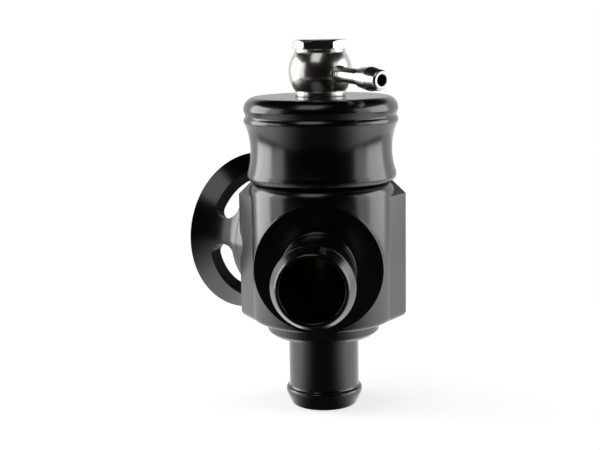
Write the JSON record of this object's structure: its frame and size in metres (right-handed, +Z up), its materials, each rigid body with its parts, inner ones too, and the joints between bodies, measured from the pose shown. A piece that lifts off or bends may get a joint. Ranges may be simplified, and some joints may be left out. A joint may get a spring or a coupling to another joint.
{
  "type": "blow off valve",
  "caption": "Piston blow-off valve with a bottom hose inlet, a front recirculation tail, a windowed side trumpet and a banjo vacuum fitting on its screw cap.",
  "frame": {"origin": "centre of the inlet tail's mouth, on the valve's axis", "axes": "+Z up along the valve's axis to the cap, -Y along the recirculation port"},
  "size_m": [0.063, 0.0847, 0.1042],
  "materials": {
    "black_anodised": "black anodised, polished under the dye, satin gloss",
    "nickel": "bright nickel plate",
    "brass": "turned brass",
    "rubber": "smooth nitrile rubber",
    "ptfe": "white low-friction plastic",
    "spring_steel": "drawn wire"
  },
  "bodies": {
    "housing": {"body": "black_anodised", "cap": "black_anodised", "cap_o_ring": "rubber", "inlet_tail": "black_anodised", "inlet_o_ring": "rubber", "recirculation_tail": "black_anodised", "recirculation_o_ring": "rubber", "trumpet": "black_anodised", "trumpet_o_ring": "rubber", "return_spring": "spring_steel", "spring_seat": "spring_steel", "banjo_bolt": "nickel", "lower_washer": "nickel", "upper_washer": "nickel"},
    "piston": {"piston": "brass", "piston_o_ring": "rubber", "piston_wear_ring": "ptfe", "piston_seat_ring": "rubber"},
    "banjo": {"banjo_eye": "nickel", "vacuum_nipple": "nickel"}
  },
  "joints": [
    {"name": "piston_lift", "type": "slide", "parent": "housing", "child": "piston", "axis": [0, 0, 1], "range_m": [0, 0.014], "stiffness_N_per_m": 1200, "springref_m": -0.006, "deforming": ["return_spring"]},
    {"name": "banjo_swivel", "type": "hinge", "parent": "housing", "child": "banjo", "pos_m": [0, 0, 0.0954], "axis": [0, 0, 1], "continuous": true}
  ]
}
